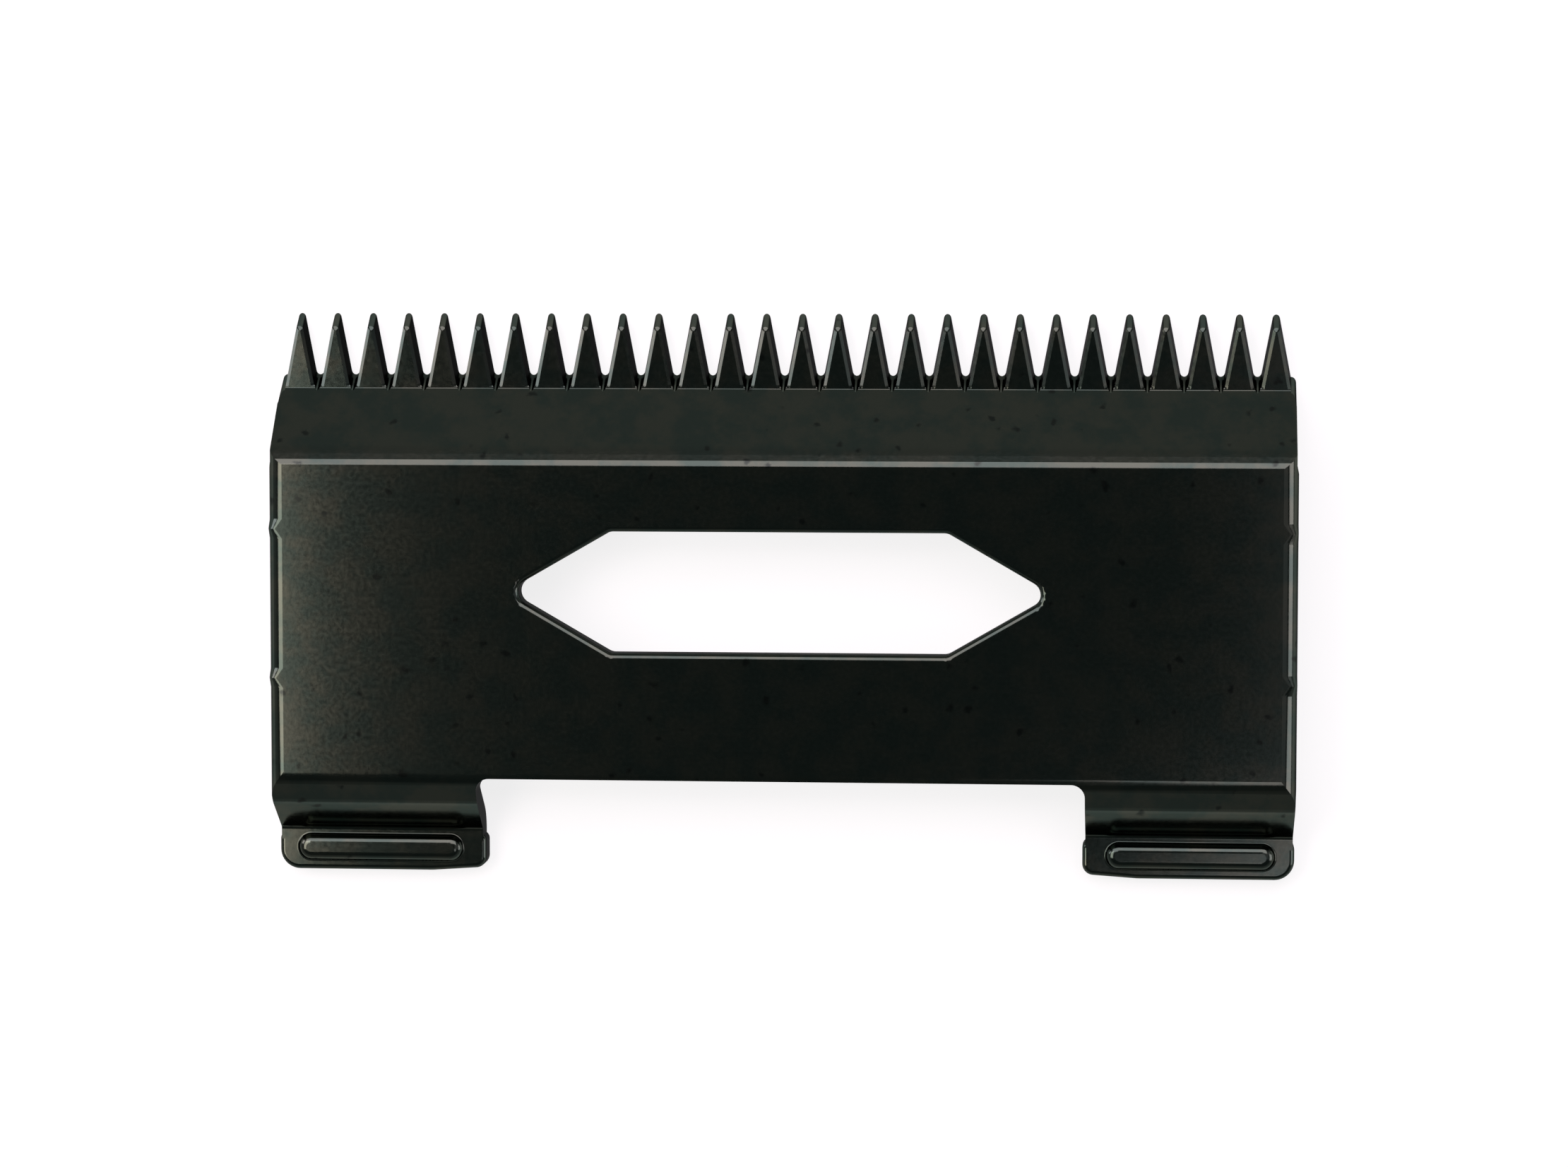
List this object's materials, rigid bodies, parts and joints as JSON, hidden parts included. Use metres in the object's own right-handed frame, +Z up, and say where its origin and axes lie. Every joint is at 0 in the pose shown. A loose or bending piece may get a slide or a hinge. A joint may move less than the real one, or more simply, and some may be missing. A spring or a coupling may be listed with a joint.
{
  "type": "hair clipper cutter blade",
  "caption": "Pressed steel cutter blade for a hair clipper: toothed front land, ramp up to a raised deck with a six-sided drive window, and rear legs ending in beaded feet.",
  "frame": {"origin": "centre of the blade's outline, on the ground cutting face that it lies on", "axes": "+X across the blade, +Y from the rear feet to the tooth tips, +Z up from the cutting face"},
  "size_m": [0.041, 0.0226, 0.0032],
  "materials": {
    "black_coated_steel": "satin black coating on steel"
  },
  "bodies": {
    "root": {"cutter_blade": "black_coated_steel"}
  },
  "joints": []
}
